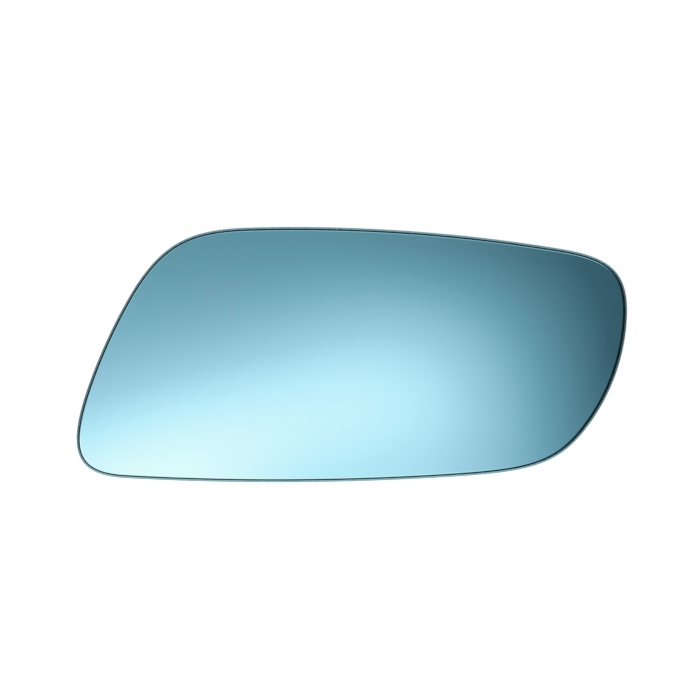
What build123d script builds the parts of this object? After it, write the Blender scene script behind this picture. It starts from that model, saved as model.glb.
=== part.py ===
"""Glass of a car door mirror: one pane, bent to a shallow ball form and ground round at its rim.

The pane lies with its reflecting, outward-bulging face up. Millimetres, +Z up, +X along its length.
The origin is on the surface that it lies on, under the middle of its outline.
"""

import os

from build123d import *

# Outline, seen from the reflecting side, between corners that are still sharp.
# Each side is given by how far it runs, rises, leans or drops from its first corner.
bottom_run = 157.8
bottom_rise = 1.6
left_height = 80.2
left_lean = 35.6
top_run = 148.0
top_drop = 9.4

# Bow of each side: how far its middle stands out from the straight line between its corners.
bottom_bow = 3.4
right_bow = 11.5
top_bow = 5.1
left_bow = 5.5

# Each corner is drawn out over the ends of the two sides that meet there, measured from the sharp corner.
# It leaves its sides gently and is tightest in its middle, so that reflections run round it unbroken.
lower_left_on_left = 30.4
lower_left_on_bottom = 20.0
lower_right_on_bottom = 29.8
lower_right_on_right = 18.2
upper_right_on_right = 18.6
upper_right_on_top = 20.4
upper_left_on_top = 25.2
upper_left_on_left = 28.1

# How long a corner keeps to the direction of its sides. A round arc has 0.55, and a fuller corner more.
corner_fullness = 0.8

# The sheet: float glass bent over a ball, so that the mirror shows a wider view than a flat one.
glass_thickness = 2.1
mirror_radius = 1200.0

# The rim is ground to a pencil edge: both arrises are rounded off, with a narrow land left between.
edge_land = 0.2
edge_radius = (glass_thickness - edge_land) / 2

# The highest point of the lying pane, from the middle of the outline.
# A loose pane of this outline balances on its two far ends, and this is the point that is then on top.
crown_right = 6.1
crown_down = 25.8

lower_left = Vector(0, 0)
lower_right = Vector(bottom_run, bottom_rise)
upper_left = Vector(left_lean, left_height)
upper_right = Vector(left_lean + top_run, left_height - top_drop)

# The sides in turn, anticlockwise: both corners, the bow, and what the corners take off the two ends.
sides = (
    (lower_left, lower_right, bottom_bow, lower_left_on_bottom, lower_right_on_bottom),
    (lower_right, upper_right, right_bow, lower_right_on_right, upper_right_on_right),
    (upper_right, upper_left, top_bow, upper_right_on_top, upper_left_on_top),
    (upper_left, lower_left, left_bow, upper_left_on_left, lower_left_on_left),
)

# A negative sagitta bows a side outwards. Each corner joins the side before it to the side after it.
with BuildSketch() as outline:
    with BuildLine():
        runs = []
        for start, end, bow, start_cut, end_cut in sides:
            side = SagittaArc(start, end, -bow, mode=Mode.PRIVATE)
            run = side.trim(start_cut / side.length, 1 - end_cut / side.length)
            add(run)
            runs.append((run, start_cut, end_cut))
        for before, after in zip(runs[-1:] + runs[:-1], runs):
            run_in, _, cut_in = before
            run_out, cut_out, _ = after
            leave = run_in @ 1
            arrive = run_out @ 0
            keep_on = leave + (run_in % 1) * corner_fullness * cut_in
            come_in = arrive - (run_out % 0) * corner_fullness * cut_out
            Bezier(leave, keep_on, come_in, arrive)
    make_face()

outline_box = outline.sketch.bounding_box()
outline_middle = outline_box.center()

# The ball's centre stands under the crown, with the crown itself at height zero for now.
ball_centre = (crown_right, -crown_down, -mirror_radius)
cut_depth = outline_box.diagonal

# The pane is cut to its outline, straight through the sheet, and two concentric balls leave its faces.
# The balls lie on their sides, which keeps their poles and seams off the pane.
with BuildPart() as mirror_glass:
    with BuildSketch(Plane((-outline_middle.X, -outline_middle.Y, 0))):
        add(outline.sketch)
    extrude(amount=cut_depth, both=True)
    with Locations(ball_centre):
        Sphere(mirror_radius, rotation=(90, 0, 0), mode=Mode.INTERSECT)
        Sphere(mirror_radius - glass_thickness, rotation=(90, 0, 0), mode=Mode.SUBTRACT)
    sheet_faces = mirror_glass.faces().filter_by(GeomType.SPHERE)
    fillet(sheet_faces.edges(), radius=edge_radius)

# The pane is set down on the surface that it lies on.
rest_level = mirror_glass.part.bounding_box().min.Z
mirror_glass.part.move(Location((0, 0, -rest_level)))
mirror_glass.part.label = "mirror_glass"

os.makedirs("parts", exist_ok=True)
export_step(mirror_glass.part, "parts/mirror_glass.step")

finished_size = mirror_glass.part.bounding_box().size
print(f"mirror glass {finished_size.X:.2f} x {finished_size.Y:.2f} x {finished_size.Z:.2f} mm")
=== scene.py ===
from math import atan2, cos, pi, radians, sin, sqrt, tan

import bmesh
import bpy
from mathutils import Matrix, Vector
from mathutils.geometry import interpolate_bezier


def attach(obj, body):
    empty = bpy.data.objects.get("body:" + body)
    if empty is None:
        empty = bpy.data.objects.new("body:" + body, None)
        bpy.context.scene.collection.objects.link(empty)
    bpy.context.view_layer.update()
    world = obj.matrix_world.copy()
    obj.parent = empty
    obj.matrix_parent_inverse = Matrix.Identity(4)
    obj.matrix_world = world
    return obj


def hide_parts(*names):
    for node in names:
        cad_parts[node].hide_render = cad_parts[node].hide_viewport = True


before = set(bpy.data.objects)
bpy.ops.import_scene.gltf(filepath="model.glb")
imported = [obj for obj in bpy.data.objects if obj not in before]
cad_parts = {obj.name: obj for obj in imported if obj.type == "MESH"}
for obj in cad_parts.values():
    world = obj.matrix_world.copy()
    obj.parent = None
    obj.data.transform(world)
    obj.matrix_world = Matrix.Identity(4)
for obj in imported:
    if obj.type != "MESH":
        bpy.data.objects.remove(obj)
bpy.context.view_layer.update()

# The outline of the pane: four bowed sides with drawn-out corners, scored into a flat sheet of float
# glass and snapped out. It is seen from the reflecting side and runs anticlockwise from the lower left,
# in metres, with corners that are still sharp.
bottom_run = 0.1578
bottom_rise = 0.0016
left_height = 0.0802
left_lean = 0.0356
top_run = 0.1480
top_drop = 0.0094
corners = [
    Vector((0.0, 0.0)),
    Vector((bottom_run, bottom_rise)),
    Vector((left_lean + top_run, left_height - top_drop)),
    Vector((left_lean, left_height)),
]
side_bows = [0.0034, 0.0115, 0.0051, 0.0055]
n_sides = len(corners)

# Each corner takes up the end of the side before it and the start of the side after it. It leaves them
# gently and is tightest in its middle. A round arc has a fullness of 0.55, and a fuller corner more.
cuts_before = [0.0304, 0.0298, 0.0186, 0.0252]
cuts_after = [0.0200, 0.0182, 0.0204, 0.0281]
corner_fullness = 0.8
corner_steps = 48
side_steps = [92, 36, 92, 36]


def side_circle(start, end, bow):
    """Centre and radius of the arc from start to end whose middle stands out by bow."""
    chord = end - start
    radius = (chord.length_squared / 4 + bow * bow) / (2 * bow)
    outward = Vector((chord.y, -chord.x)).normalized()
    return (start + end) / 2 - outward * (radius - bow), radius


# What the corners leave of each side: the arc's two ends, its direction there and its curve handles.
runs = []
for i in range(n_sides):
    following = (i + 1) % n_sides
    centre, radius = side_circle(corners[i], corners[following], side_bows[i])
    from_centre = corners[i] - centre
    to_centre = corners[following] - centre
    first = atan2(from_centre.y, from_centre.x) + cuts_after[i] / radius
    last = atan2(to_centre.y, to_centre.x) - cuts_before[following] / radius
    first_spoke = Vector((cos(first), sin(first)))
    last_spoke = Vector((cos(last), sin(last)))
    handle = radius * tan((last - first) % (2 * pi) / 4) * 4 / 3
    first_end = centre + first_spoke * radius, first_spoke.orthogonal()
    last_end = centre + last_spoke * radius, last_spoke.orthogonal()
    runs.append((first_end, last_end, handle))

# The stops along the outline: each corner and then the side after it. They are counted from the middle
# of the first corner.
stops = []
for i in range(n_sides):
    leave, leave_way = runs[i - 1][1]
    (begin, begin_way), (end, end_way), handle = runs[i]
    keep_on = leave + leave_way * corner_fullness * cuts_before[i]
    come_in = begin - begin_way * corner_fullness * cuts_after[i]
    stops += interpolate_bezier(leave, keep_on, come_in, begin, corner_steps + 1)[:-1]
    keep_on = begin + begin_way * handle
    come_in = end - end_way * handle
    stops += interpolate_bezier(begin, keep_on, come_in, end, side_steps[i] + 1)[:-1]
stops = stops[corner_steps // 2:] + stops[:corner_steps // 2]
n_stops = len(stops)


def heading(i):
    """Angle of the outline's direction at a stop, about +Z from +X."""
    ahead = stops[(i + 1) % n_stops] - stops[i - 1]
    return atan2(ahead.y, ahead.x)


# The rim: a diamond wheel rounds it off all the way round, to a pencil edge. Its section starts on the
# reflecting face, rolls off where the wheel has just touched the coating, and goes over a shoulder and
# a nose to a narrow land at mid thickness. The back half is the same, mirrored.
glass_thickness = 0.0021
face_margin = 0.0040
face_support = 0.00004
roll_radius = 0.00165
roll_tilt = radians(14)
shoulder_radius = 0.00188
shoulder_tilt = radians(45)
nose_radius = 0.00057
nose_tilt = radians(90)
roll_steps = 3
shoulder_steps = 5
nose_steps = 5
meeting_gap = 0.00001

up = Vector((0, 0, 1))
along = Vector((cos(heading(0)), sin(heading(0)), 0))
outward = along.cross(up)
rim_width = (
    roll_radius * sin(roll_tilt)
    + shoulder_radius * (sin(shoulder_tilt) - sin(roll_tilt))
    + nose_radius * (sin(nose_tilt) - sin(shoulder_tilt))
)
rim_depth = (
    roll_radius * (1 - cos(roll_tilt))
    + shoulder_radius * (cos(roll_tilt) - cos(shoulder_tilt))
    + nose_radius * (cos(shoulder_tilt) - cos(nose_tilt))
)
land_height = glass_thickness - 2 * rim_depth

pane = bmesh.new()


def carry_on(tip, way):
    """Carry the section on from its tip in a straight line."""
    grown = bmesh.ops.extrude_vert_indiv(pane, verts=[tip])["verts"]
    bmesh.ops.translate(pane, verts=grown, vec=way)
    return grown[0]


def carry_round(tip, radius, tilt_from, tilt_to, steps):
    """Carry the section on from its tip round an arc, from one tilt of the surface to another."""
    normal = outward * sin(tilt_from) + up * cos(tilt_from)
    spun = bmesh.ops.spin(
        pane, geom=[tip], cent=tip.co - normal * radius, axis=along, angle=tilt_to - tilt_from, steps=steps
    )
    return spun["geom_last"][0]


tip = pane.verts.new(stops[0].to_3d() - outward * (rim_width + face_margin) + up * glass_thickness / 2)
tip = carry_on(tip, outward * (face_margin - face_support))
tip = carry_on(tip, outward * face_support)
tip = carry_round(tip, roll_radius, 0, roll_tilt, roll_steps)
tip = carry_round(tip, shoulder_radius, roll_tilt, shoulder_tilt, shoulder_steps)
tip = carry_round(tip, nose_radius, shoulder_tilt, nose_tilt, nose_steps)
tip = carry_on(tip, -up * land_height)
tip = carry_round(tip, nose_radius, nose_tilt, pi - shoulder_tilt, nose_steps)
tip = carry_round(tip, shoulder_radius, pi - shoulder_tilt, pi - roll_tilt, shoulder_steps)
tip = carry_round(tip, roll_radius, pi - roll_tilt, pi, roll_steps)
tip = carry_on(tip, -outward * face_support)
tip = carry_on(tip, -outward * (face_margin - face_support))

# How far round the section each point lies is kept on the mesh, for the tones and the marks of the rim.
round_section = pane.verts.layers.float.new("round_section")
pane.verts.ensure_lookup_table()
for i in range(1, len(pane.verts)):
    step = pane.verts[i].co - pane.verts[i - 1].co
    pane.verts[i][round_section] = pane.verts[i - 1][round_section] + step.length

# The section is swept along the outline, from the middle of one corner to the middle of the next.
section = pane.edges[:]
rails = []


def sweep_on(section, here, there):
    """Carry the section on from one stop to another, turn it with the outline and give it back."""
    grown = bmesh.ops.extrude_edge_only(pane, edges=section)["geom"]
    points = [part for part in grown if isinstance(part, bmesh.types.BMVert)]
    edges = [part for part in grown if isinstance(part, bmesh.types.BMEdge)]
    turn = Matrix.Rotation(heading(there) - heading(here), 3, up)
    bmesh.ops.translate(pane, verts=points, vec=(stops[there] - stops[here]).to_3d())
    bmesh.ops.rotate(pane, verts=points, cent=stops[there].to_3d(), matrix=turn)
    return [edge for edge in edges if all(point in points for point in edge.verts)]


stop = 0
for i in range(n_sides):
    known = set(pane.edges)
    for _ in range(corner_steps + side_steps[i]):
        following = (stop + 1) % n_stops
        section = sweep_on(section, stop, following)
        stop = following
    rails.append([edge for edge in pane.edges if edge not in known])
bmesh.ops.remove_doubles(pane, verts=pane.verts, dist=meeting_gap)

# The two faces fill the swept rim, each between its bottom and its top side.
for above in (True, False):
    edges = []
    for rail in (rails[0], rails[2]):
        for edge in rail:
            if edge.is_valid and edge.is_boundary and (edge.verts[0].co.z > 0) == above:
                edges.append(edge)
    bmesh.ops.grid_fill(pane, edges=edges, use_interp_simple=True)
bmesh.ops.recalc_face_normals(pane, faces=pane.faces)

# Which finish each face of the pane has, while it is still flat: the coating reaches over the roll,
# the paint over the back, and bare ground glass shows between them.
coated, ground, painted = range(3)
for face in pane.faces:
    face.smooth = True
    if face.normal.z > cos(roll_tilt):
        face.material_index = coated
    elif face.normal.z < -cos(roll_tilt):
        face.material_index = painted
    else:
        face.material_index = ground

# The pane is softened in a kiln and sags onto a ball mould, with its coated face outwards. It lies on
# its two far ends, and the crown is the point that is then on top.
mirror_radius = 1.2
crown_right = 0.0061
crown_down = 0.0258

xs = [vertex.co.x for vertex in pane.verts]
ys = [vertex.co.y for vertex in pane.verts]
outline_middle = Vector(((min(xs) + max(xs)) / 2, (min(ys) + max(ys)) / 2, 0))
bmesh.ops.translate(pane, verts=pane.verts, vec=-outline_middle)
crown = Vector((crown_right, -crown_down))
for vertex in pane.verts:
    reach = (vertex.co.xy - crown).length
    vertex.co.z += sqrt(mirror_radius**2 - reach**2) - mirror_radius
rest_level = min(vertex.co.z for vertex in pane.verts)
bmesh.ops.translate(pane, verts=pane.verts, vec=-up * rest_level)

pane_mesh = bpy.data.meshes.new("mirror_pane")
pane.to_mesh(pane_mesh)
pane.free()
mirror_pane = bpy.data.objects.new("mirror_pane", pane_mesh)
bpy.context.scene.collection.objects.link(mirror_pane)

# The reflecting face: a blue anti-glare film of metal and metal oxide, sputtered onto the glass in a
# vacuum. Its thickness wanders a little, which shows as faint greyer patches, in groups towards the upper
# side. The sagged glass under it is not quite even, which bends lines in the reflection by a hair.
film_blue = (0.250, 0.520, 0.630, 1)
film_grey = (0.277, 0.503, 0.597, 1)
film_edge_on = (0.70, 0.85, 0.92, 1)
film_roughness = 0.010, 0.020
patch_fineness = 320
patch_detail = 3
group_fineness = 18
patch_range = 0.30, 0.46
patch_rise = -0.010, 0.015
wave_fineness = 45
wave_detail = 0
wave_height = 0.000003


def new_material(name):
    """A new node material, its node tree and its shader."""
    material = bpy.data.materials.new(name)
    material.use_nodes = True
    tree = material.node_tree
    return material, tree, tree.nodes["Principled BSDF"]


def feed(tree, node, feeds):
    """Give a node's inputs, by name or number, the outputs or plain values that feed them."""
    for key, value in feeds.items():
        if isinstance(value, bpy.types.NodeSocket):
            tree.links.new(value, node.inputs[key])
        else:
            node.inputs[key].default_value = value


def add_node(tree, kind, feeds=None, **settings):
    """A new node with its own settings and with what feeds it."""
    node = tree.nodes.new(kind)
    for name, value in settings.items():
        setattr(node, name, value)
    feed(tree, node, feeds or {})
    return node


def calculate(tree, operation, *values):
    """The result of one calculation on numbers."""
    node = add_node(tree, "ShaderNodeMath", dict(enumerate(values)), operation=operation)
    return node.outputs["Value"]


def noise(tree, place, fineness, detail=2):
    """Smooth random tones, about so many to the metre."""
    feeds = {"Vector": place, "Scale": fineness, "Detail": detail}
    return add_node(tree, "ShaderNodeTexNoise", feeds).outputs["Fac"]


def graded(tree, value, span=(0, 1), tones=(0, 1), curve="LINEAR"):
    """A value carried over from a span to a range of tones, and held at both ends."""
    feeds = {"Value": value}
    feeds["From Min"], feeds["From Max"] = span
    feeds["To Min"], feeds["To Max"] = tones
    return add_node(tree, "ShaderNodeMapRange", feeds, interpolation_type=curve).outputs["Result"]


def coloured(tree, value, levels):
    """A value turned into a colour, by levels and the colour at each."""
    ramp = add_node(tree, "ShaderNodeValToRGB", {"Fac": value})
    elements = ramp.color_ramp.elements
    while len(elements) < len(levels):
        elements.new(1)
    for element, (level, colour) in zip(elements, levels):
        element.position = level
        element.color = colour
    return ramp.outputs["Color"]


def bumped(tree, height, depth):
    """The direction of a surface that a pattern makes uneven by a depth in metres."""
    return add_node(tree, "ShaderNodeBump", {"Height": height, "Distance": depth}).outputs["Normal"]


coating, tree, shader = new_material("blue_mirror_coating")
place = add_node(tree, "ShaderNodeTexCoord").outputs["Object"]
parts = add_node(tree, "ShaderNodeSeparateXYZ", {"Vector": place}).outputs
patches = noise(tree, place, patch_fineness, patch_detail)
groups = noise(tree, place, group_fineness)
grouped = calculate(tree, "MULTIPLY", patches, groups)
upper_side = graded(tree, parts["Y"], patch_rise, curve="SMOOTHSTEP")
patchy = calculate(tree, "MULTIPLY", grouped, upper_side)
waves = noise(tree, place, wave_fineness, wave_detail)
feed(tree, shader, {
    "Base Color": coloured(tree, patchy, list(zip(patch_range, (film_blue, film_grey)))),
    "Roughness": graded(tree, patchy, patch_range, film_roughness),
    "Normal": bumped(tree, waves, wave_height),
    "Metallic": 1,
    "Specular Tint": film_edge_on,
})
pane_mesh.materials.append(coating)

# The ground rim: bare glass, dark blue-green to look into, with the fine matt lines that the wheel
# leaves along it. Next to the coating a hair of it stays clear and dark, and then it is matt.
# The tones are given by how far round the section they lie, from where the face ends.
rim_tones = [
    (0.00084, (0.006, 0.026, 0.031, 1)),
    (0.00096, (0.245, 0.500, 0.580, 1)),
    (0.00125, (0.230, 0.440, 0.495, 1)),
    (0.00165, (0.110, 0.190, 0.200, 1)),
]
rim_span = 0.0040
rim_shine = 0.12
glass_refraction = 1.52
line_spread = (150, 150, 150)
line_fineness = 16000
line_tones = 0.75, 1.25
line_roughness = 0.22, 0.50
line_depth = 0.000002


def calculate_vector(tree, operation, *values, gives="Vector"):
    """The result of one calculation on vectors."""
    node = add_node(tree, "ShaderNodeVectorMath", dict(enumerate(values)), operation=operation)
    return node.outputs[gives]


ground_rim, tree, shader = new_material("ground_glass_rim")
place = add_node(tree, "ShaderNodeTexCoord").outputs["Object"]
section_place = add_node(tree, "ShaderNodeAttribute", attribute_name="round_section").outputs["Fac"]
across = graded(tree, section_place, (face_margin, face_margin + rim_span))
rim_tone = coloured(tree, across, [(distance / rim_span, colour) for distance, colour in rim_tones])
spread = calculate_vector(tree, "MULTIPLY", place, line_spread)
fine = calculate(tree, "MULTIPLY", section_place, line_fineness)
lines = noise(tree, calculate_vector(tree, "ADD", spread, fine), fineness=1)
feed(tree, shader, {
    "Base Color": calculate_vector(tree, "MULTIPLY", rim_tone, graded(tree, lines, tones=line_tones)),
    "Roughness": graded(tree, lines, tones=line_roughness),
    "Normal": bumped(tree, lines, line_depth),
    "IOR": glass_refraction,
    "Specular IOR Level": rim_shine,
})
pane_mesh.materials.append(ground_rim)

# The back: a dark grey protective paint, rolled over the glass and stoved. It dries with faint cloudy
# streaks and with a fine orange-peel skin.
paint_grey = (0.035, 0.038, 0.040, 1)
paint_worn = (0.055, 0.058, 0.060, 1)
paint_roughness = 0.45, 0.65
streak_fineness = 90
streak_detail = 5
skin_fineness = 700
skin_depth = 0.00001
back_paint, tree, shader = new_material("back_paint")
place = add_node(tree, "ShaderNodeTexCoord").outputs["Object"]
streaks = noise(tree, place, streak_fineness, streak_detail)
skin = noise(tree, place, skin_fineness)
feed(tree, shader, {
    "Base Color": coloured(tree, streaks, [(0, paint_grey), (1, paint_worn)]),
    "Roughness": graded(tree, streaks, tones=paint_roughness),
    "Normal": bumped(tree, skin, skin_depth),
})
pane_mesh.materials.append(back_paint)

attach(mirror_pane, "root")
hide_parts("mirror_glass")

# The camera looks straight down on the pane, as the photograph does, through a long lens.
# The picture is 700 pixels wide, and one pixel is this much of the pane.
picture_width = 700
pixel = 0.182 / 550.8
lens = 600
sensor = 36
right_of_centre = 1.84 * pixel
below_centre = 4.64 * pixel
rim_level = 0.002
camera_rise = picture_width * pixel * lens / sensor
camera_data = bpy.data.cameras.new("camera")
camera_data.lens = lens
camera_data.sensor_width = sensor
camera = bpy.data.objects.new("camera", camera_data)
camera.location = (-right_of_centre, below_centre, rim_level + camera_rise)
bpy.context.scene.collection.objects.link(camera)
bpy.context.scene.camera = camera

# The floor: a wide sheet of plain white card. What the lamps leave is filled up to white where it is
# looked at. Near the pane the fill is weaker, so that the lamps' shadows show there. Where the pane
# shelters the card the fill is cut further still, darker the more it is sheltered: a painted shadow
# under the pane.
floor_size = 6.0
floor_white = (0.85, 0.85, 0.85, 1)
floor_roughness = 0.9
fill_white = (1, 1, 1, 1)
near_fill = 0.80
far_fill = 1.00
fill_reach = 0.15, 0.50
painted_shadow_reach = 0.020
painted_shadow_open_end = 0.5
painted_shadow_fill = 0.35
floor_mesh = bpy.data.meshes.new("floor")
sheet = bmesh.new()
bmesh.ops.create_grid(sheet, x_segments=1, y_segments=1, size=floor_size / 2)
sheet.to_mesh(floor_mesh)
sheet.free()
floor = bpy.data.objects.new("floor", floor_mesh)
bpy.context.scene.collection.objects.link(floor)
floor_card, tree, shader = new_material("floor_card")
ray = add_node(tree, "ShaderNodeLightPath").outputs
place = add_node(tree, "ShaderNodeTexCoord").outputs["Object"]
from_middle = calculate_vector(tree, "LENGTH", place, gives="Value")
fill = graded(tree, from_middle, fill_reach, (near_fill, far_fill), "SMOOTHSTEP")
# The fill is cut where the pane shelters the card: a painted shadow under the pane.
openness = add_node(tree, "ShaderNodeAmbientOcclusion", {"Distance": painted_shadow_reach}).outputs["AO"]
painted_shadow_share = graded(tree, openness, (0, painted_shadow_open_end), (painted_shadow_fill, 1))
fill_with_painted_shadow = calculate(tree, "MULTIPLY", fill, painted_shadow_share)
straight = calculate(tree, "MAXIMUM", ray["Is Camera Ray"], ray["Is Transmission Ray"])
looked_at = calculate(tree, "MAXIMUM", straight, ray["Is Glossy Ray"])
feed(tree, shader, {
    "Base Color": floor_white,
    "Roughness": floor_roughness,
    "Emission Color": fill_white,
    "Emission Strength": calculate(tree, "MULTIPLY", looked_at, fill_with_painted_shadow),
})
floor_mesh.materials.append(floor_card)

# The room: a round white tent, looked at as plain white. The mirror shows its wall, which darkens a little
# upwards, and over the wall's top edge a dim roof. Straight overhead, soft pools of lamp light fall on the
# roof from the left and the near side, and its right side is dark.
room_white = (1, 1, 1, 1)
wall_top = 0.37
wall_hem = 0.006
wall_tones = 0.95, 0.68
roof_end = 0.60
roof_tones = 0.22, 0.60
overhead_from = 0.58, 0.78

# The pools are given where they show in the pane, in metres from its middle. Each has a strength, a place,
# two half widths and a turn. The pools in the pane stay as they are past its edges.
pools = [
    (0.663, (-0.118, -0.110), (0.1332, 0.2110), radians(-37.5)),
    (0.302, (-0.0530, -0.0372), (0.1039, 0.0314), radians(23.5)),
    (0.264, (0.0364, -0.0309), (0.0554, 0.0426), radians(-46.2)),
    (0.040, (0.0180, -0.0440), (0.0300, 0.0080), 0.0),
]
beyond_pools = [
    (0.20, (-0.020, 0.220), (0.180, 0.095), 0.0),
    (0.50, (0.160, 0.205), (0.100, 0.100), 0.0),
    (0.36, (-0.240, 0.070), (0.085, 0.150), 0.0),
    (0.35, (0.105, -0.140), (0.065, 0.055), 0.0),
    (0.12, (0.000, -0.210), (0.120, 0.090), 0.0),
]
pools_end = (-0.093, 0.500), (-0.043, 0.043)
light_stops = [
    (0.00, (0.016, 0.023, 0.025, 1)),
    (0.10, (0.078, 0.122, 0.119, 1)),
    (0.22, (0.153, 0.222, 0.252, 1)),
    (0.40, (0.508, 0.648, 0.672, 1)),
    (0.61, (1.306, 1.217, 1.208, 1)),
    (0.72, (1.902, 1.621, 1.524, 1)),
    (0.87, (2.890, 1.873, 1.535, 1)),
]

# The soft light that falls on what is not a mirror weakens upwards and to the right.
soft_upwards = 0.0, 0.9
soft_tones = 0.12, 0.06
soft_rightwards = 0.1, 0.8
soft_shares = 1.0, 0.1


def shifted(tree, place, origin, unit, turn=0):
    """A place measured from another origin, in other units along axes turned about +Z."""
    feeds = {"Vector": place, "Location": origin, "Rotation": (0, 0, turn), "Scale": unit}
    return add_node(tree, "ShaderNodeMapping", feeds, vector_type="TEXTURE").outputs["Vector"]


def mixed(tree, share, first, second):
    """A first colour that gives way to a second by its share."""
    feeds = {"Factor": share, "A": first, "B": second}
    return add_node(tree, "ShaderNodeMix", feeds, data_type="RGBA").outputs["Result"]


world = bpy.data.worlds.new("room")
bpy.context.scene.world = world
world.use_nodes = True
tree = world.node_tree
tree.nodes.clear()
ray = add_node(tree, "ShaderNodeLightPath").outputs
way = add_node(tree, "ShaderNodeTexCoord").outputs["Generated"]
parts = add_node(tree, "ShaderNodeSeparateXYZ", {"Vector": way}).outputs

# A way that goes up from the pane is taken back to the point of the pane that mirrors it to the camera.
least_rise = 0.05
slope_scale = 1 / camera_rise + 2 / mirror_radius
slope_x = -camera.location.x / camera_rise - 2 * crown_right / mirror_radius
slope_y = -camera.location.y / camera_rise + 2 * crown_down / mirror_radius
run_per_rise = calculate(tree, "DIVIDE", 1, calculate(tree, "MAXIMUM", parts["Z"], least_rise))
slope = add_node(tree, "ShaderNodeVectorMath", {0: way, "Scale": run_per_rise}, operation="SCALE")
in_pane = shifted(tree, slope.outputs["Vector"], (slope_x, slope_y, 1), (slope_scale, slope_scale, 1))
(left_end, right_end), (near_end, far_end) = pools_end
from_ends = calculate_vector(tree, "MAXIMUM", in_pane, (left_end, near_end, 0))
held = calculate_vector(tree, "MINIMUM", from_ends, (right_end, far_end, 0))

# Each pool fades from its middle as a bell curve does, and they add up.
total = 0
for kind, seen_at in ((pools, held), (beyond_pools, in_pane)):
    for strength, (x, y), (half_long, half_wide), turn in kind:
        centred = shifted(tree, seen_at, (x, y, 0), (half_long, half_wide, 1), turn)
        away = calculate_vector(tree, "DOT_PRODUCT", centred, centred, gives="Value")
        glow = calculate(tree, "EXPONENT", calculate(tree, "MULTIPLY", away, -1))
        total = calculate(tree, "MULTIPLY_ADD", glow, strength, total)
overhead = coloured(tree, total, light_stops)

wall = graded(tree, parts["Z"], (0, wall_top), wall_tones, "SMOOTHSTEP")
roof = graded(tree, parts["Z"], (wall_top, roof_end), roof_tones, "SMOOTHSTEP")
tent = graded(tree, parts["Z"], (wall_top, wall_top + wall_hem), (wall, roof))
upward = graded(tree, parts["Z"], overhead_from, curve="SMOOTHSTEP")
mirrored = mixed(tree, upward, tent, overhead)
soft_height = graded(tree, parts["Z"], soft_upwards, soft_tones, "SMOOTHSTEP")
soft_right = graded(tree, parts["X"], soft_rightwards, soft_shares, "SMOOTHSTEP")
soft_light = calculate(tree, "MULTIPLY", soft_height, soft_right)
lit = mixed(tree, ray["Is Glossy Ray"], soft_light, mirrored)
straight = calculate(tree, "MAXIMUM", ray["Is Camera Ray"], ray["Is Transmission Ray"])
seen = mixed(tree, straight, lit, room_white)
sky = add_node(tree, "ShaderNodeBackground", {"Color": seen})
add_node(tree, "ShaderNodeOutputWorld", {"Surface": sky.outputs["Background"]})

# The lamps: three soft boxes that stand low, so that they light the rim from the far and the near side
# and a little from the left, and leave its right end dark.
lamp_width = 0.30
lamp_height = 0.15
lamps = [
    (2.5, (0.05, 0.58, 0.12)),
    (4.0, (-0.02, -0.60, 0.12)),
    (0.8, (-0.50, -0.28, 0.12)),
]
for lamp_power, lamp_place in lamps:
    lamp_data = bpy.data.lights.new("soft_box", "AREA")
    lamp_data.shape = "RECTANGLE"
    lamp_data.size = lamp_width
    lamp_data.size_y = lamp_height
    lamp_data.energy = lamp_power
    lamp = bpy.data.objects.new("soft_box", lamp_data)
    lamp.location = lamp_place
    lamp.rotation_euler = (-lamp.location).to_track_quat("-Z", "Y").to_euler()
    lamp.visible_glossy = False
    bpy.context.scene.collection.objects.link(lamp)

bpy.context.scene.view_settings.view_transform = "Standard"
